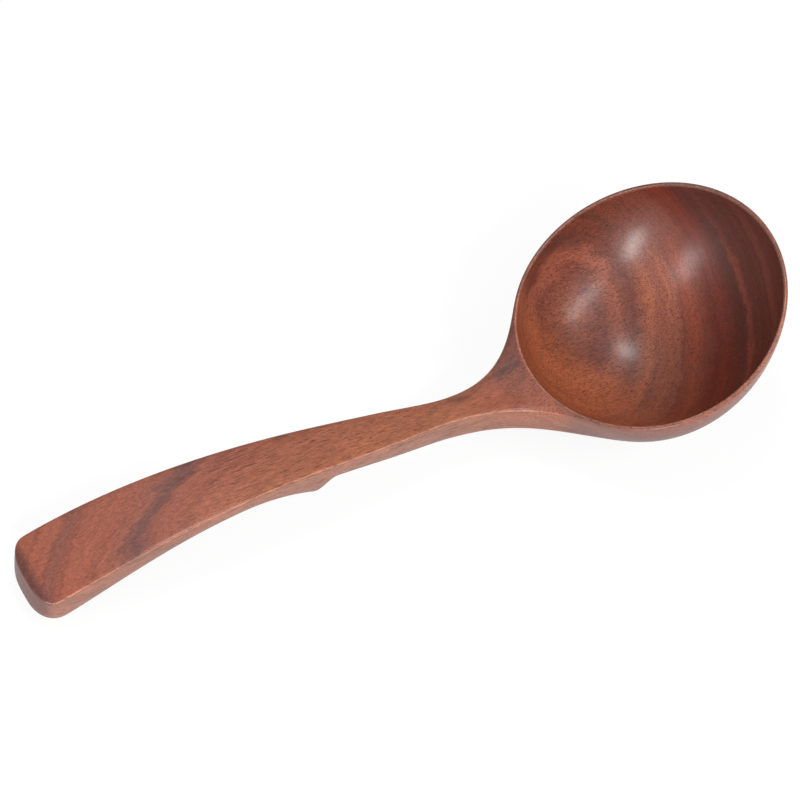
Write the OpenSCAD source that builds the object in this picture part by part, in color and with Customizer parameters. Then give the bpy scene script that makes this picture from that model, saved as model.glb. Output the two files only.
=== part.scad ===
// Soup ladle carved from one piece of hardwood: a round bowl, a neck that
// flares into the rim, and an arched handle with a hooked underside.
// It lies as it does on a table, on its bowl and on the end of its handle.

/* [Bowl] */
// Inside length of the bowl at the rim, along the handle
bowl_d = 96; // [84:1:110]
// Inside width of the bowl at the rim, across the handle
bowl_w = 94.8; // [82:0.2:110]
// Depth of the hollow below the sides of the rim
bowl_depth = 36; // [30:1:42]
// Thickness of the wood at the bottom of the bowl
floor_t = 4.5; // [3:0.5:7]
// Thickness of the wood at the rim
lip_t = 1.6; // [1.4:0.1:3]
// Lean of the bowl's wall at the rim, from upright, in degrees
wall_lean = 6; // [4:1:18]
// How far the deepest place of the bowl lies behind its middle
keel_back = 8; // [0:0.5:10]
// Height of the rim's front and back above its sides
rim_rise = 2.8; // [0:0.2:5]
// Height taken off the round underside by the flat that the bowl lies on
sanded_t = 0.6; // [0.3:0.1:1]

/* [Neck] */
// Distance from the rim to the narrowest place of the neck
neck_gap = 30; // [24:1:36]
// Height of the neck there above the sides of the rim
neck_rise = 14.2; // [11:0.2:18]
// Width of the neck
neck_w = 10.8; // [8:0.2:14]
// Thickness of the neck
neck_t = 12.5; // [10:0.5:15]

/* [Handle] */
// Distance from the rim to the end of the handle
handle_l = 185; // [165:0.5:200]
// Climb of the straight stretch behind the neck, in degrees
ramp_angle = 30; // [26:1:34]
// Length of the straight stretch
ramp_l = 54; // [46:1:64]
// Radius of the arch that follows it
arch_r = 230; // [210:5:280]
// Width where the neck passes into the handle
shoulder_w = 15; // [12:0.5:18]
// Width at the foot of the arch
arch_w = 19.2; // [15:0.2:24]
// Width at the end of the handle
end_w = 30.2; // [24:0.2:34]
// Thickness at the foot of the arch
arch_t = 9.5; // [8:0.5:13]
// Thickness where the handle is thinnest
grip_t = 9; // [7:0.5:11]
// Thickness at the end of the handle
end_t = 16.5; // [11:0.5:18]

/* [Hook] */
// Distance of the hook's tip from the neck, along the handle
hook_at = 54.5; // [46:1:70]
// Depth of the hook below the handle
hook_h = 6.5; // [2:0.5:9]
// Length over which the underside runs down to the tip
hook_run = 30; // [16:1:40]
// Length over which it steps back behind the tip
hook_step = 7; // [3:0.5:8]

/* [Edges] */
// Rounding of the edge between top and side
edge_r = 0.9; // [0.5:0.1:1]
// Rounding of the inner edge of the rim
rim_r = 0.3; // [0.2:0.1:0.4]
// Rounding of the lower edge at the end of the handle
heel_r = 6; // [2:0.5:7]
// How far the face at the end of the handle stands out below its top edge
nose = 3.5; // [0.5:0.5:5]
// Length of the rounded corners at the end of the handle
corner_l = 11; // [7:0.5:13]
// Squareness of the handle's section, where 2 is an ellipse
square_n = 3.6; // [2.6:0.1:5]

/* [Hidden] */

bowl_r = bowl_d / 2;
rim_r_out = bowl_r + lip_t;
shell_depth = bowl_depth + floor_t;

// The bowl's grid: columns round its axis, counted from the handle's side,
// and rows from the bottom of the hollow over the lip to the underside.
columns = 60;
column_deg = 360 / columns;
top_columns = 6;        // columns from the middle of the neck to its upper edge
under_columns = 8;      // the same to its lower edge
hollow_rows = 11;
shell_rows = 15;
root_rows = 4;          // rows of the shell that the neck grows from
flare_rings = 9;
root_pull = 1.1;        // how far the flare keeps the bowl's direction
under_pull = 0.5;       // share of it in the middle of the underside
neck_pull = 1.4;        // how far the flare keeps the neck's direction
ring_gap = 5;           // longest step between two rings of the handle
top_share = 0.8;        // half width of the top's even columns, as a share
corner_a = 45;          // where the section's side ends and its underside begins
shoulder_share = 0.46;  // place of the shoulder on the straight stretch
grip_share = 0.42;      // place of the thinnest grip on the arch
hook_hollow = 1.6;      // how hollow the run down to the hook's tip is
end_n = 2.5;            // squareness of the handle's end, seen from above
nose_at = 0.5;          // share of the depth at which the end face stands out most
steepest_tilt = 60;

function rim_bend(x) = rim_rise * pow(x / bowl_r, 2);
function polar(r, a, z) = [
    r * cos(a) + keel_back * z / shell_depth,
    r * sin(a) * bowl_w / bowl_d,
    z + rim_bend(r * cos(a))];
function column_angle(j) = 180 + column_deg * j;

// Profile of the bowl: radius and height of each row. Both walls are arcs of an
// ellipse that meet the rim at the wall's lean.
function wall(r, top, depth, share) =
    let (a = wall_lean + (90 - wall_lean) * share)
    [r * cos(a) / cos(wall_lean), -top - (depth - top) * (sin(a) - sin(wall_lean)) / (1 - sin(wall_lean))];
hollow = [for (i = [1:hollow_rows]) wall(bowl_r, rim_r, bowl_depth, 1 - i / hollow_rows)];
lip_in = [for (a = [45, 90])
    [bowl_r + rim_r * (1 - cos(a)), -rim_r * (1 - sin(a))]];
lip_out = [for (a = [90, 45, 0])
    [rim_r_out - edge_r * (1 - cos(a)), -edge_r * (1 - sin(a))]];
shell = [for (i = [1:shell_rows - 1]) wall(rim_r_out, edge_r, shell_depth, i / shell_rows)];
profile = concat(hollow, lip_in, lip_out, shell);
rows = len(profile);
top_row = hollow_rows + len(lip_in) - 1;
low_row = top_row + len(lip_out) + root_rows;
side_rows = low_row - top_row;
ring_n = 2 * top_columns + 2 * under_columns + 2 * side_rows;

bowl_points = [for (p = profile) for (j = [0:columns - 1]) polar(p[0], column_angle(j), p[1])];
hollow_bottom = polar(0, 0, -bowl_depth);
shell_bottom = polar(0, 0, -shell_depth);

// Line of the handle's top, from the narrowest place of the neck to the end
neck_x = -rim_r_out - neck_gap;
arch_dx = handle_l - neck_gap - ramp_l * cos(ramp_angle);
end_angle = asin(sin(ramp_angle) - arch_dx / arch_r);
arch_l = arch_r * (ramp_angle - end_angle) * PI / 180;
line_l = ramp_l + arch_l;
corner_s = line_l - corner_l;

function heading(s) = s < ramp_l ? ramp_angle : ramp_angle - (s - ramp_l) / arch_r * 180 / PI;
function on_ramp(s) = [neck_x - s * cos(ramp_angle), neck_rise + s * sin(ramp_angle)];
function on_line(s) = s < ramp_l ? on_ramp(s) :
    let (a = heading(s), foot = on_ramp(ramp_l))
    [foot[0] - arch_r * (sin(ramp_angle) - sin(a)), foot[1] + arch_r * (cos(a) - cos(ramp_angle))];
// Point beside the line: u across the handle, v up from its top
function beside(s, u, v) = let (p = on_line(s), a = heading(s)) [p[0] + v * sin(a), u, p[1] + v * cos(a)];
function along(s) = [-cos(heading(s)), 0, sin(heading(s))];

// Smooth curve through the stations [place, value], level at both ends
function slope_at(p, i) = i == 0 || i == len(p) - 1 ? 0 :
    (p[i + 1][1] - p[i - 1][1]) / (p[i + 1][0] - p[i - 1][0]);
function hermite(a, b, da, db, t) =
    a * (1 + 2 * t) * (1 - t) * (1 - t) + da * t * (1 - t) * (1 - t)
    + b * t * t * (3 - 2 * t) - db * t * t * (1 - t);
function through(p, s, i = 0) =
    i < len(p) - 2 && s > p[i + 1][0] ? through(p, s, i + 1) :
    let (l = p[i + 1][0] - p[i][0])
    hermite(p[i][1], p[i + 1][1], slope_at(p, i) * l, slope_at(p, i + 1) * l, min(1, (s - p[i][0]) / l));

shoulder_s = ramp_l * shoulder_share;
grip_s = ramp_l + arch_l * grip_share;
half_widths = [[0, neck_w / 2], [shoulder_s, shoulder_w / 2], [ramp_l, arch_w / 2], [corner_s, end_w / 2]];
thicknesses = [[0, neck_t], [ramp_l, arch_t], [grip_s, grip_t], [line_l, end_t]];

function ease(t) = t <= 0 ? 0 : t >= 1 ? 1 : t * t * (3 - 2 * t);
function hook(s) = hook_h * (s < hook_at ? ease(1 + (s - hook_at) / hook_step)
    : pow(max(0, 1 - (s - hook_at) / hook_run), hook_hollow));
function half_w(s) = through(half_widths, min(s, corner_s));
function thick(s) = through(thicknesses, s) + hook(s);

// How far the end face lies inside its outermost place, at a share of the way
// down: it slopes in to the top edge and rounds under to the heel
function end_inset(share) = share < nose_at ? nose * pow(1 - share / nose_at, 2)
    : heel_r * (1 - sqrt(max(0, 1 - pow((share - nose_at) / (1 - nose_at), 2))));

// One ring of the handle: points [u, v, inset] from the top's left edge, down the
// right side, along the underside and up the left side
function section(w, t) =
    let (
        p = 2 / square_n,
        top_u = (w - edge_r) * top_share,
        top_inset = end_inset(0) + edge_r,
        edge = [for (a = [90, 45, 0])
            [w - edge_r * (1 - cos(a)), -edge_r * (1 - sin(a)), top_inset - edge_r * cos(a)]],
        side = [for (i = [1:root_rows]) round_at(w, t, corner_a * i / root_rows, p)],
        under = [for (j = [1:2 * under_columns - 1])
            let (a = corner_a + (90 - corner_a) * j / under_columns)
            round_at(w, t, a, p)],
        right = concat(edge, side)
    )
    concat(
        [for (j = [-top_columns:top_columns]) [-top_u * j / top_columns, 0, top_inset]],
        [for (q = right) [-q[0], q[1], q[2]]],
        [for (q = under) [-q[0], q[1], q[2]]],
        [for (i = [len(right) - 1:-1:0]) right[i]]);
function round_at(w, t, a, p) =
    let (v = -edge_r - (t - edge_r) * pow(sin(a), p))
    [w * sign(cos(a)) * pow(abs(cos(a)), p), v, end_inset(-v / t)];

// Rings along the handle, closer together at the hook, then round the end
function spread(a, b) = let (n = max(1, ceil((b - a) / ring_gap))) [for (i = [0:n - 1]) a + (b - a) * i / n];
tip_places = [0, 1.5, 4];
hook_places = concat([for (k = [1, 0.8, 0.6, 0.4, 0.2]) -hook_step * k], tip_places);
straight_places = concat(
    spread(0, hook_at - hook_step),
    [for (k = hook_places) hook_at + k],
    spread(hook_at + 2 * tip_places[2], corner_s));
end_turns = [0, 0.25, 0.45, 0.62, 0.76, 0.87, 0.94, 0.985];

handle_rings = concat(
    [for (s = straight_places) [for (q = section(half_w(s), thick(s))) beside(s, q[0], q[1])]],
    [for (t = end_turns)
        let (narrow = pow(1 - pow(t, end_n), 1 / end_n))
        [for (q = section(end_w / 2, thick(corner_s + t * corner_l)))
            beside(corner_s + t * (corner_l - q[2]), q[0] * narrow, q[1])]]);

// The ring on the bowl that the neck grows from, as [row, column]. Its sides spread
// from the rim's edge downwards.
function side_column(i) = top_columns
    + ceil((under_columns - top_columns) * max(0, i - len(lip_out)) / root_rows);
root = concat(
    [for (j = [-top_columns:top_columns]) [top_row, j]],
    [for (i = [1:side_rows]) [top_row + i, side_column(i)]],
    [for (j = [under_columns - 1:-1:1 - under_columns]) [low_row, j]],
    [for (i = [side_rows:-1:1]) [top_row + i, -side_column(i)]]);
function bowl_index(row, column) = row * columns + (column + columns) % columns;
root_ring = [for (r = root) bowl_points[bowl_index(r[0], r[1])]];

// Direction in which each point of the root leaves the bowl, all within the bowl's
// own surface: round the rim and the shell at the sides, straight back in the
// middle of the rim, and up the shell in the middle of the underside.
shell_step = wall(rim_r_out, edge_r, shell_depth, (root_rows - 1) / shell_rows)
    - wall(rim_r_out, edge_r, shell_depth, (root_rows + 1) / shell_rows);
shell_climb = atan2(shell_step[1], shell_step[0]);
rim_grade = 2 * rim_rise / bowl_r;
function fan(share) = share * (2 - abs(share));
function leaving(r) =
    let (
        a = column_deg * r[1],
        top_turn = 180 - (90 - column_deg * top_columns) * fan(r[1] / top_columns),
        climb = 90 * fan(r[1] / under_columns),
        around = [-sin(a), cos(a), 0],
        up = [-cos(a) * cos(shell_climb), -sin(a) * cos(shell_climb), sin(shell_climb)],
        way = r[0] == top_row ? [cos(top_turn), sin(top_turn), 0]
            : r[0] < low_row ? sign(r[1]) * around
            : sin(climb) * around + cos(climb) * up
    )
    way + [0, 0, -rim_grade * cos(a) * way[0]];

// How far each point keeps its direction. The middle of the underside turns out of
// the shell sooner than its corners do.
function hold(r) = r[0] < low_row ? root_pull
    : root_pull * (under_pull + (1 - under_pull) * pow(r[1] / under_columns, 2));

neck_ring = handle_rings[0];
flare = [for (i = [1:flare_rings - 1])
    let (t = i / flare_rings)
    [for (k = [0:ring_n - 1])
        let (gap = norm(neck_ring[k] - root_ring[k]))
        hermite(root_ring[k], neck_ring[k],
            leaving(root[k]) * gap * hold(root[k]), along(0) * gap * neck_pull, t)]];
neck_and_handle = concat(flare, handle_rings);
ring_count = len(neck_and_handle);

carved_points = concat(bowl_points, [hollow_bottom, shell_bottom], [for (ring = neck_and_handle) each ring]);

// Faces, wound clockwise as seen from outside
function quad(a, b, c, d) = [[a, c, b], [a, d, c]];
// What the neck leaves of the bowl's face between two rows and two columns: all of
// it, one triangle where the ring slants, or nothing
function bowl_face(row, j) =
    let (
        side = j >= columns / 2 ? j - columns : j,
        place = side >= 0 ? side : -side - 1,
        a = bowl_index(row, j),
        b = bowl_index(row + 1, j),
        c = bowl_index(row + 1, j + 1),
        d = bowl_index(row, j + 1)
    )
    row < top_row || row >= low_row || place >= side_column(row + 1 - top_row) ? quad(a, b, c, d)
    : place < side_column(row - top_row) ? []
    : side >= 0 ? [[a, d, c]] : [[a, d, b]];
hollow_pole = rows * columns;
shell_pole = hollow_pole + 1;
first_ring = shell_pole + 1;
bowl_faces = [
    for (row = [0:rows - 2]) for (j = [0:columns - 1]) each bowl_face(row, j)];
pole_faces = [
    for (j = [0:columns - 1])
        each [[hollow_pole, bowl_index(0, j + 1), bowl_index(0, j)],
              [shell_pole, bowl_index(rows - 1, j), bowl_index(rows - 1, j + 1)]]];
function ring_index(ring, k) = ring < 0 ? bowl_index(root[k % ring_n][0], root[k % ring_n][1])
    : first_ring + ring * ring_n + k % ring_n;
// The diagonals on one side of the handle mirror those on the other
span = 2 * top_columns;
under_middle = span + side_rows + under_columns;
handle_faces = [
    for (ring = [-1:ring_count - 2]) for (k = [0:ring_n - 1])
        let (
            a = ring_index(ring, k),
            b = ring_index(ring + 1, k),
            c = ring_index(ring + 1, k + 1),
            d = ring_index(ring, k + 1)
        )
        each k < top_columns || k >= under_middle ? quad(a, b, c, d) : quad(b, c, d, a)];

// The end of the handle closes in bands from its top edge to its lower edge
last = ring_count - 1;
function left_of(i) = ring_index(last, ring_n - i);
function right_of(i) = ring_index(last, span + i);
end_top = concat([left_of(1)], [for (k = [0:span]) ring_index(last, k)], [right_of(1)]);
end_faces = concat(
    [for (k = [0:span + 1]) [left_of(2), end_top[k], end_top[k + 1]]],
    [[left_of(2), right_of(1), right_of(2)]],
    [for (i = [2:side_rows - 1]) each quad(left_of(i), left_of(i + 1), right_of(i + 1), right_of(i))],
    [for (k = [0:2 * under_columns - 2])
        [left_of(side_rows), right_of(side_rows + k), right_of(side_rows + k + 1)]]);

// Lying on the table: the tilt at which the shell and the heel touch one level
// plane, found by halving the angle between two guesses
function reach_down(points, a) = max([for (p = points) -p[0] * sin(a) - p[2] * cos(a)]);
shell_line = concat([for (row = [low_row:rows - 1]) bowl_points[bowl_index(row, 0)]], [shell_bottom]);
heel_line = [for (i = [ring_count - len(end_turns):last]) neck_and_handle[i][under_middle]];
function settle(low, high, n = 30) =
    let (middle = (low + high) / 2)
    n == 0 ? middle
        : reach_down(heel_line, middle) < reach_down(shell_line, middle) ? settle(middle, high, n - 1)
        : settle(low, middle, n - 1);
rest_tilt = settle(0, steepest_tilt);
rest_height = reach_down(shell_line, rest_tilt) - sanded_t;

function tilted(p) = [
    p[0] * cos(rest_tilt) - p[2] * sin(rest_tilt),
    p[1],
    p[0] * sin(rest_tilt) + p[2] * cos(rest_tilt) + rest_height];
lying_points = [for (p = carved_points) tilted(p)];
xs = [for (p = lying_points) p[0]];
middle_x = (min(xs) + max(xs)) / 2;
// Both places that touch the table are sanded flat
ladle_points = [for (p = lying_points) [p[0] - middle_x, p[1], max(0, p[2])]];

module ladle() {
    color("sienna")
        polyhedron(points = ladle_points,
            faces = concat(bowl_faces, pole_faces, handle_faces, end_faces), convexity = 8);
}

ladle();
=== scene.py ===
import math

import bmesh
import bpy
from mathutils import Matrix, Vector


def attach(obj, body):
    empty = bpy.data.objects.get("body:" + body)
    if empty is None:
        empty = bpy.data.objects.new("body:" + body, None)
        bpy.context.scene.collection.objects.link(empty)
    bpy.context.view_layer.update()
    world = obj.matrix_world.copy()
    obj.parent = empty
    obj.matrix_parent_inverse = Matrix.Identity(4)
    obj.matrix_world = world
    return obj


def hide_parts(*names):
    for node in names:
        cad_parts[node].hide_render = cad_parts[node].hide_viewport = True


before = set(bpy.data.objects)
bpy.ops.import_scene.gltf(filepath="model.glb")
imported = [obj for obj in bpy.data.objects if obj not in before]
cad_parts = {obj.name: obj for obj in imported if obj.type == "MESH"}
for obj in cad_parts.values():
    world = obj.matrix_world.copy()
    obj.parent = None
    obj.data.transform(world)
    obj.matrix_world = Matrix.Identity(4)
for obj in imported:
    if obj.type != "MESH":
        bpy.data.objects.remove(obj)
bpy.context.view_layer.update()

# Camera
# A long lens from about 1.3 m, looking down at the ladle over its near side and
# rolled so that the bowl lies at the upper right of a square 800 pixel image.
IMAGE_PX = 800
FOCAL_PX = 3705
CENTRE_X_PX = 410
CENTRE_Y_PX = 458
SENSOR_MM = 36
CAMERA_DISTANCE = 1.3
LOOK_AT = Vector((0.0067, 0.0, 0.0028))
CAMERA_FROM = Vector((-0.36537, -0.49541, 0.78808))
IMAGE_RIGHT = Vector((0.87538, -0.47077, 0.10991))
IMAGE_UP = CAMERA_FROM.cross(IMAGE_RIGHT)

camera_data = bpy.data.cameras.new("camera")
camera_data.sensor_width = SENSOR_MM
camera_data.lens = SENSOR_MM * FOCAL_PX / IMAGE_PX
camera_data.shift_x = (IMAGE_PX / 2 - CENTRE_X_PX) / IMAGE_PX
camera_data.shift_y = (CENTRE_Y_PX - IMAGE_PX / 2) / IMAGE_PX
camera_data.clip_end = 20
camera = bpy.data.objects.new("camera", camera_data)
turn = Matrix((IMAGE_RIGHT, IMAGE_UP, CAMERA_FROM)).transposed()
camera.matrix_world = Matrix.Translation(LOOK_AT + CAMERA_FROM * CAMERA_DISTANCE) @ turn.to_4x4()
bpy.context.scene.collection.objects.link(camera)
bpy.context.scene.camera = camera
bpy.context.scene.view_settings.view_transform = "Standard"

# Floor and surroundings
# A plain white floor under an even pale sky. It bounces soft light onto the ladle's
# sides, and the camera sees it white, with a faint shadow under the ladle.
FLOOR_REACH = 3.0
FLOOR_DROP = 0.0001
FLOOR_WHITE = (0.82, 0.82, 0.82, 1)
FLOOR_GLOW = 1.05
FLOOR_GLOW_SHARE = 0.85
SKY_LIGHT = 0.33
WHITE = (1, 1, 1, 1)


def seen_white(tree, lit, glow, share):
    # The camera sees this share of the glow; all other rays meet the lit surface
    path = tree.nodes.new("ShaderNodeLightPath")
    to_camera = tree.nodes.new("ShaderNodeMath")
    to_camera.operation = "MULTIPLY"
    to_camera.inputs[1].default_value = share
    tree.links.new(path.outputs["Is Camera Ray"], to_camera.inputs[0])
    mix = tree.nodes.new("ShaderNodeMixShader")
    tree.links.new(to_camera.outputs["Value"], mix.inputs["Fac"])
    tree.links.new(lit, mix.inputs[1])
    tree.links.new(glow, mix.inputs[2])
    return mix.outputs["Shader"]


floor_mesh = bpy.data.meshes.new("floor")
floor_bm = bmesh.new()
under_ladle = Matrix.Translation((0, 0, -FLOOR_DROP))
bmesh.ops.create_grid(floor_bm, x_segments=1, y_segments=1, size=FLOOR_REACH, matrix=under_ladle)
floor_bm.to_mesh(floor_mesh)
floor_bm.free()
floor = bpy.data.objects.new("floor", floor_mesh)
bpy.context.scene.collection.objects.link(floor)

floor_mat = bpy.data.materials.new("floor_white")
floor_mat.use_nodes = True
tree = floor_mat.node_tree
tree.nodes.clear()
out = tree.nodes.new("ShaderNodeOutputMaterial")
diffuse = tree.nodes.new("ShaderNodeBsdfDiffuse")
diffuse.inputs["Color"].default_value = FLOOR_WHITE
glow = tree.nodes.new("ShaderNodeEmission")
glow.inputs["Color"].default_value = WHITE
glow.inputs["Strength"].default_value = FLOOR_GLOW
whitened = seen_white(tree, diffuse.outputs["BSDF"], glow.outputs["Emission"], FLOOR_GLOW_SHARE)
tree.links.new(whitened, out.inputs["Surface"])
floor_mesh.materials.append(floor_mat)

world = bpy.data.worlds.new("sky")
bpy.context.scene.world = world
world.use_nodes = True
tree = world.node_tree
tree.nodes.clear()
out = tree.nodes.new("ShaderNodeOutputWorld")
sky = tree.nodes.new("ShaderNodeBackground")
sky.inputs["Color"].default_value = WHITE
sky.inputs["Strength"].default_value = SKY_LIGHT
glow = tree.nodes.new("ShaderNodeBackground")
glow.inputs["Color"].default_value = WHITE
whitened = seen_white(tree, sky.outputs["Background"], glow.outputs["Background"], 1)
tree.links.new(whitened, out.inputs["Surface"])

# Lights
# Four soft boxes, each placed where the polished hollow mirrors it: two low ones
# on the left, a wide one over the near side and one almost overhead.
HOLLOW = Vector((0.105, 0.02, 0.02))
SOFT_BOXES = [
    # name, azimuth and elevation in degrees, distance, width and height in m, power in W
    ("box_near_left", -126, 14, 1.1, 0.20, 0.42, 6.6),
    ("box_left", -173, 12, 1.1, 0.22, 0.42, 3.6),
    ("box_near", -68, 48, 1.1, 0.80, 0.16, 5.0),
    ("box_top", 123, 79, 1.2, 0.20, 0.26, 3.8),
]
for name, azimuth, elevation, distance, width, height, power in SOFT_BOXES:
    lamp = bpy.data.lights.new(name, "AREA")
    lamp.shape = "RECTANGLE"
    lamp.size = width
    lamp.size_y = height
    lamp.energy = power
    box = bpy.data.objects.new(name, lamp)
    a = math.radians(azimuth)
    e = math.radians(elevation)
    way = Vector((math.cos(a) * math.cos(e), math.sin(a) * math.cos(e), math.sin(e)))
    box.location = HOLLOW + way * distance
    box.rotation_euler = way.to_track_quat("Z", "Y").to_euler()
    bpy.context.scene.collection.objects.link(box)

# Ladle
# Bowl, neck, handle and hook, carved from one blank of hardwood and sanded smooth.
# The CAD solid is welded, its triangles joined into quads and its facets subdivided,
# so that all of it is one skin.
WELD = 2e-6
MOST_BEND = math.radians(60)
MOST_SKEW = math.radians(70)
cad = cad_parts["ladle"]
bm = bmesh.new()
bm.from_mesh(cad.data)
bmesh.ops.transform(bm, matrix=cad.matrix_world, verts=bm.verts)
bmesh.ops.remove_doubles(bm, verts=bm.verts, dist=WELD)
bmesh.ops.join_triangles(
    bm, faces=bm.faces, angle_face_threshold=MOST_BEND, angle_shape_threshold=MOST_SKEW)
bmesh.ops.recalc_face_normals(bm, faces=bm.faces)
for face in bm.faces:
    face.smooth = True
ladle_mesh = bpy.data.meshes.new("ladle_skin")
bm.to_mesh(ladle_mesh)
bm.free()
ladle = bpy.data.objects.new("ladle_skin", ladle_mesh)
bpy.context.scene.collection.objects.link(ladle)
smooth = ladle.modifiers.new("smooth", "SUBSURF")
smooth.levels = 2
smooth.render_levels = 2

# The ladle's wood
# Oiled reddish-brown hardwood. The growth layers dip gently along and across the
# blank, so the hollow and the end of the handle cut them into nested bands.
wood = bpy.data.materials.new("oiled_wood")
wood.use_nodes = True
nodes = wood.node_tree.nodes
links = wood.node_tree.links
nodes.clear()
out = nodes.new("ShaderNodeOutputMaterial")
skin = nodes.new("ShaderNodeBsdfPrincipled")
links.new(skin.outputs["BSDF"], out.inputs["Surface"])


def feed(socket, value):
    if isinstance(value, bpy.types.NodeSocket):
        links.new(value, socket)
    else:
        socket.default_value = value


def maths(operation, *values):
    node = nodes.new("ShaderNodeMath")
    node.operation = operation
    for socket, value in zip(node.inputs, values):
        feed(socket, value)
    return node.outputs["Value"]


def product(first, *others):
    for other in others:
        first = maths("MULTIPLY", first, other)
    return first


def vectors(operation, first, second, result="Vector"):
    node = nodes.new("ShaderNodeVectorMath")
    node.operation = operation
    feed(node.inputs[0], first)
    feed(node.inputs["Scale" if operation == "SCALE" else 1], second)
    return node.outputs[result]


def remap(value, low, high, to_low=0.0, to_high=1.0):
    node = nodes.new("ShaderNodeMapRange")
    node.interpolation_type = "SMOOTHSTEP"
    feed(node.inputs["Value"], value)
    node.inputs["From Min"].default_value = low
    node.inputs["From Max"].default_value = high
    node.inputs["To Min"].default_value = to_low
    node.inputs["To Max"].default_value = to_high
    return node.outputs["Result"]


def noise(grain, detail, roughness=0.5, place=None):
    # grain: cells per millimetre along x, y and z
    node = nodes.new("ShaderNodeTexNoise")
    node.inputs["Scale"].default_value = 1
    node.inputs["Detail"].default_value = detail
    node.inputs["Roughness"].default_value = roughness
    links.new(vectors("MULTIPLY", place or point, grain), node.inputs["Vector"])
    return node.outputs["Fac"]


def blend(share, first, second):
    node = nodes.new("ShaderNodeMix")
    node.data_type = "RGBA"
    feed(node.inputs["Factor"], share)
    feed(node.inputs["A"], first)
    feed(node.inputs["B"], second)
    return node.outputs["Result"]


# Place on the ladle in millimetres, and which way the surface faces
MM_PER_M = 1000
coordinates = nodes.new("ShaderNodeTexCoord")
point = vectors("SCALE", coordinates.outputs["Object"], MM_PER_M)
axes = nodes.new("ShaderNodeSeparateXYZ")
links.new(point, axes.inputs["Vector"])
x = axes.outputs["X"]
y = axes.outputs["Y"]
facing = nodes.new("ShaderNodeSeparateXYZ")
links.new(coordinates.outputs["Normal"], facing.inputs["Vector"])
facing_far = facing.outputs["Y"]
facing_up = facing.outputs["Z"]

# Height above the dipping growth layers, with a slow and a quick waver
LAYER_SLOPE = (0.1515, -0.3743, 1.0)
LAYER_BEND = -0.0054
SLOW_GRAIN = (0.012, 0.034, 0.034)
SLOW_WAVER = 1.6
QUICK_GRAIN = (0.06, 0.25, 0.25)
QUICK_WAVER = 1.2
dip = vectors("DOT_PRODUCT", point, LAYER_SLOPE, "Value")
slow = remap(noise(SLOW_GRAIN, 1), 0.2, 0.8, -SLOW_WAVER, SLOW_WAVER)
quick = remap(noise(QUICK_GRAIN, 4, 0.6), 0.2, 0.8, -QUICK_WAVER, QUICK_WAVER)
layer = maths("ADD", dip, product(y, y, LAYER_BEND))
layer = maths("ADD", layer, maths("ADD", slow, quick))

# The bands of colour, each a list of layer heights in millimetres and their colours
TAN = (0.365, 0.154, 0.090, 1)
WHEAT = (0.40, 0.130, 0.064, 1)
SAND = (0.36, 0.100, 0.046, 1)
RUSSET = (0.34, 0.092, 0.048, 1)
BROWN = (0.31, 0.087, 0.049, 1)
SIENNA = (0.285, 0.086, 0.052, 1)
UMBER = (0.22, 0.073, 0.045, 1)
SHELL_SHADE = (0.15, 0.058, 0.042, 1)
AMBER = (0.42, 0.116, 0.050, 1)
HONEY = (0.43, 0.128, 0.056, 1)
ORANGE = (0.36, 0.090, 0.036, 1)
EMBER = (0.33, 0.063, 0.024, 1)
RUST = (0.22, 0.048, 0.026, 1)
MAROON_HEARTWOOD_AND_SHADE = (0.150, 0.021, 0.008, 1)
FAR_WALL_SHADE = (0.155, 0.039, 0.023, 1)
PLUM = (0.15, 0.040, 0.027, 1)
DARK_HEARTWOOD_AND_SHADE = (0.075, 0.018, 0.013, 1)
GREY = (0.19, 0.068, 0.056, 1)
SLATE = (0.155, 0.058, 0.050, 1)
HANDLE_BANDS = [
    (-14, BROWN), (-4, BROWN), (-2.4, GREY), (0, BROWN), (6, BROWN), (9.8, SIENNA), (11.6, SLATE),
    (12.4, SLATE), (14.4, BROWN), (19, BROWN), (25, WHEAT), (31, WHEAT), (35, TAN), (45, TAN),
]
CHEEK_BANDS = [(8, AMBER), (16, AMBER), (24, ORANGE), (34, ORANGE), (42, UMBER), (60, UMBER)]
# From layer 43 on, the bowl's bands are darker heartwood, deepened by painted shade on the
# hollow's wall at the tip, which faces the handle
BOWL_BANDS = [
    (0, BROWN), (9, AMBER), (12, BROWN), (13.7, PLUM), (15.5, BROWN), (17.8, BROWN), (19.4, PLUM),
    (21.2, SIENNA), (22.6, SAND), (24, HONEY), (25.6, SIENNA), (27, BROWN), (30, SAND),
    (32, SIENNA), (33.6, RUST), (36.6, EMBER), (39.5, RUST), (43, MAROON_HEARTWOOD_AND_SHADE), (49, MAROON_HEARTWOOD_AND_SHADE),
    (55, DARK_HEARTWOOD_AND_SHADE), (57.6, DARK_HEARTWOOD_AND_SHADE), (59.6, RUST), (61.8, DARK_HEARTWOOD_AND_SHADE), (73, DARK_HEARTWOOD_AND_SHADE), (75.5, PLUM), (78, DARK_HEARTWOOD_AND_SHADE),
]
# The dark band at layers 33 to 41 is painted shade on the shell below the neck
SHELL_BANDS = [
    (0, BROWN), (26, SIENNA), (33, SHELL_SHADE), (41, SHELL_SHADE),
    (50, UMBER), (60, SIENNA), (72, BROWN), (85, SAND),
]
LAYER_LOW = -20
LAYER_HIGH = 90
depth = nodes.new("ShaderNodeMapRange")
depth.inputs["From Min"].default_value = LAYER_LOW
depth.inputs["From Max"].default_value = LAYER_HIGH
links.new(layer, depth.inputs["Value"])


def layered(bands):
    node = nodes.new("ShaderNodeValToRGB")
    node.color_ramp.interpolation = "B_SPLINE"
    links.new(depth.outputs["Result"], node.inputs["Fac"])
    ramp = node.color_ramp.elements
    while len(ramp) < len(bands):
        ramp.new(0.5)
    for element, (level, colour) in zip(ramp, bands):
        element.position = (level - LAYER_LOW) / (LAYER_HIGH - LAYER_LOW)
        element.color = colour
    return node.outputs["Color"]


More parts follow.
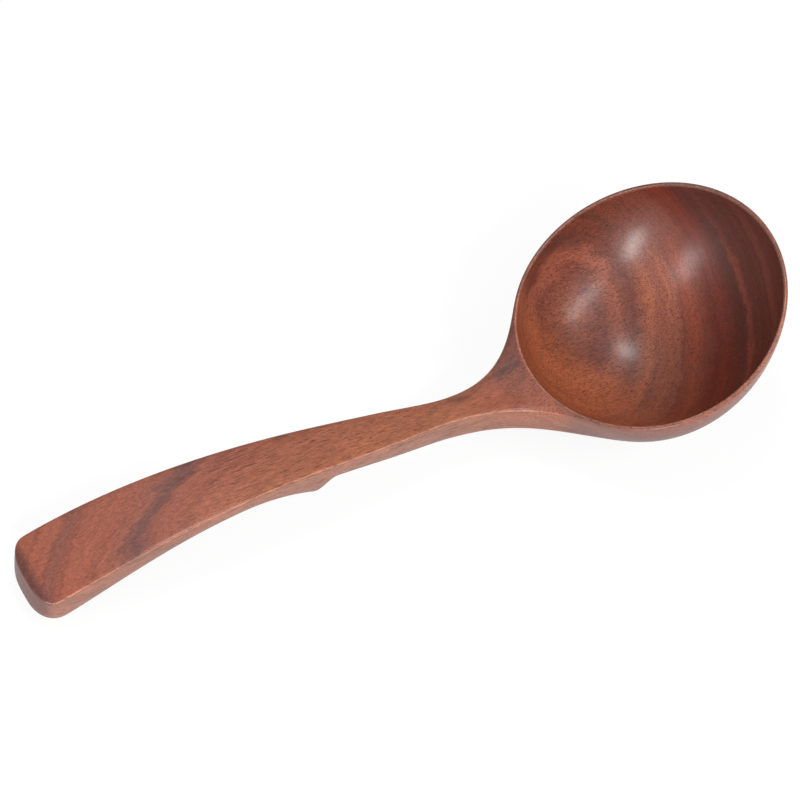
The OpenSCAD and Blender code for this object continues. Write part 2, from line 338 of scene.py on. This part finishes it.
# Places in the bowl: the height above its rim, the distance from its axis, and
# whether a point lies on the hollow or on the shell around it
RIM_CENTRE = (97.95, 0, 43.72)
RIM_UP = (-0.4123, 0, 0.9111)
RIM_FORE = (0.9111, 0, 0.4123)
RIM_ACROSS = (0, 1.0127, 0)
RIM_RADIUS = 48
RIM_RISE = 2.8
HOLLOW_DEPTH = 36
KEEL_SLOPE = -8 / 40.5
off_centre = vectors("SUBTRACT", point, RIM_CENTRE)
fore = vectors("DOT_PRODUCT", off_centre, RIM_FORE, "Value")
across = vectors("DOT_PRODUCT", off_centre, RIM_ACROSS, "Value")
rise = product(fore, fore, RIM_RISE / RIM_RADIUS ** 2)
above_rim = maths("SUBTRACT", vectors("DOT_PRODUCT", off_centre, RIM_UP, "Value"), rise)
fore = maths("ADD", fore, product(above_rim, KEEL_SLOPE))
radius_squared = maths("ADD", product(fore, fore), product(across, across))
radius = maths("SQRT", radius_squared)
sunk = maths("DIVIDE", above_rim, HOLLOW_DEPTH)
reach = maths("ADD", maths("DIVIDE", radius_squared, RIM_RADIUS ** 2), product(sunk, sunk))
on_shell = remap(reach, 1.01, 1.035)

# The figure changes along the blank: handle, flare, the bowl's cheek beside the
# neck, and strong bands in the rest of the bowl, which start sooner on its far side.
# On the hollow's far side, painted shade darkens the bands towards the rim.
TO_FLARE = (18, 44)
TO_CHEEK = (50, 57)
TO_SHELL = (52, 60)
TO_BOWL = (86, 100)
FAR_LEAN = 0.8
colour = blend(remap(x, *TO_FLARE), layered(HANDLE_BANDS), RUSSET)
colour = blend(remap(x, *TO_CHEEK), colour, layered(CHEEK_BANDS))
figure = layered(BOWL_BANDS)
middle_layers = product(remap(layer, 16, 21), remap(layer, 47, 38))
outer_layers = remap(layer, 54, 58)
# Painted shade: the bands on the hollow's far wall darken towards the rim
figure = blend(product(middle_layers, remap(y, 20, 38, 0, 0.9)), figure, FAR_WALL_SHADE)
figure = blend(product(outer_layers, remap(y, 2, 20, 0, 0.7)), figure, DARK_HEARTWOOD_AND_SHADE)
leaning_x = maths("ADD", x, product(maths("MAXIMUM", y, 0.0), FAR_LEAN))
colour = blend(remap(leaning_x, *TO_BOWL), colour, figure)
colour = blend(product(on_shell, remap(x, *TO_SHELL)), colour, layered(SHELL_BANDS))

# A painted sheen gives the handle's near side a greyer, pinker tone, and painted shade darkens
# its far side. Across the handle's end the wood is darker, as end grain takes up more oil.
NEAR_SIDE_SHEEN = (0.28, 0.125, 0.080, 1)
END_GRAIN_AND_SHADE = (0.085, 0.030, 0.028, 1)
near_side_sheen = product(remap(facing_far, -0.4, -0.9, 0, 0.6), remap(x, 75, 55))
far_side_shade = product(remap(facing_far, 0.2, 0.6, 0, 0.4), remap(x, 60, 50))
handle_end = remap(x, -136.5, -140.5, 0, 0.8)
# Painted sheen down the handle's near side
colour = blend(near_side_sheen, colour, NEAR_SIDE_SHEEN)
# Painted shade: darker down the handle's far side
colour = blend(far_side_shade, colour, END_GRAIN_AND_SHADE)
colour = blend(handle_end, colour, END_GRAIN_AND_SHADE)

# Single dark veins: start, end, half width and strength
VEIN_BROWN = (0.06, 0.027, 0.024, 1)
VEIN_GRAIN = (0.06, 0.5, 0.5)
VEINS = [
    ((82, 45, 36), (95, 44, 32), 7, 0.55),
    ((97, 48, 43), (109, 42, 35), 4, 0.4),
    ((22, 2.5, 22), (50, 8, 26), 4, 0.75),
    ((33, -7, 16), (61, -23, 16.5), 3.5, 0.45),
    ((20, -5.4, 21.6), (-8, -7.6, 24.4), 1.0, 0.5),
]


def vein(start, end, width, strength):
    run = Vector(end) - Vector(start)
    offset = vectors("SUBTRACT", point, start)
    share = maths("DIVIDE", vectors("DOT_PRODUCT", offset, run, "Value"), run.length_squared)
    along_run = nodes.new("ShaderNodeClamp")
    links.new(share, along_run.inputs["Value"])
    nearest = vectors("SCALE", run, along_run.outputs["Result"])
    return remap(vectors("DISTANCE", offset, nearest, "Value"), width, 0, 0, strength)


veins = 0.0
for values in VEINS:
    veins = maths("MAXIMUM", vein(*values), veins)
veins = product(veins, remap(noise(VEIN_GRAIN, 3), 0.35, 0.6, 0.35, 1))
colour = blend(veins, colour, VEIN_BROWN)

# A painted glint makes the inner edge of the rim pale, and the edge between the handle's top and
# sides too. Painted shade darkens the rim's outer edge on the far side.
EDGE_GLINT = (0.50, 0.25, 0.17, 1)
on_lip = product(remap(above_rim, -1.1, -0.4), remap(above_rim, 1.2, 0.4))
inner_edge_glint = product(on_lip, remap(radius, RIM_RADIUS + 0.8, RIM_RADIUS + 0.3, 0, 0.25))
outer_edge_shade = product(on_lip, remap(radius, RIM_RADIUS + 0.5, RIM_RADIUS + 1.0, 0, 0.7))
# Painted glint along the rim's inner edge
colour = blend(inner_edge_glint, colour, EDGE_GLINT)
# Painted shade on the rim's outer edge, on the far side
colour = blend(product(outer_edge_shade, remap(y, -20, 20)), colour, END_GRAIN_AND_SHADE)
sideways = maths("ABSOLUTE", facing_far)
turning = product(remap(sideways, 0.25, 0.5), remap(sideways, 0.95, 0.75, 0, 0.4))
top_edge_glint = product(turning, remap(facing_up, 0.2, 0.5), remap(x, 60, 48))
# Painted glint along the edge between the handle's top and sides
colour = blend(top_edge_glint, colour, EDGE_GLINT)

# Fine lines along the layers and fibres along the handle
LINE_GRAIN = (0.6, 1, 1)
LINE_DRIFT = 0.02
FIBRE_GRAIN = (0.3, 2.2, 2.2)
TONE_LOW = 0.74
TONE_HIGH = 1.24
along = nodes.new("ShaderNodeCombineXYZ")
links.new(layer, along.inputs["X"])
links.new(product(x, LINE_DRIFT), along.inputs["Y"])
lines = noise(LINE_GRAIN, 7, 0.75, along.outputs["Vector"])
fibres = noise(FIBRE_GRAIN, 4, 0.75)
line_tone = remap(lines, 0.28, 0.72, TONE_LOW, TONE_HIGH)
fibre_tone = remap(fibres, 0.3, 0.7, TONE_LOW, TONE_HIGH)
colour = vectors("SCALE", colour, product(line_tone, fibre_tone))

# Open pores: short dark dashes where the handle is thin, and dots in the bowl,
# where they are cut across
PORE = (0.045, 0.013, 0.009, 1)
DASH_GRAIN = (0.13, 2.5, 2.5)
DOT_GRAIN = (0.8, 2.4, 2.4)
dashes = remap(noise(DASH_GRAIN, 1), 0.60, 0.68)
dots = remap(noise(DOT_GRAIN, 1), 0.55, 0.65)
on_grip = product(remap(x, -95, -60, 0.12, 0.6), remap(x, 5, 35, 1, 0.3))
in_hollow = remap(x, 35, 60, 0.2, 0.62)
pores = maths("MAXIMUM", product(dashes, on_grip), product(dots, in_hollow))
colour = blend(pores, colour, PORE)
links.new(colour, skin.inputs["Base Color"])

# Rubbed with oil and buffed: a soft gloss, broken by the fibres and the pores
links.new(remap(fibres, 0.3, 0.7, 0.30, 0.38), skin.inputs["Roughness"])
skin.inputs["IOR"].default_value = 1.42
skin.inputs["Coat Weight"].default_value = 0.4
skin.inputs["Coat Roughness"].default_value = 0.24
bump = nodes.new("ShaderNodeBump")
bump.inputs["Strength"].default_value = 0.5
bump.inputs["Distance"].default_value = 0.00022
links.new(maths("SUBTRACT", fibres, pores), bump.inputs["Height"])
links.new(bump.outputs["Normal"], skin.inputs["Normal"])

ladle_mesh.materials.append(wood)
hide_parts("ladle")
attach(ladle, "root")
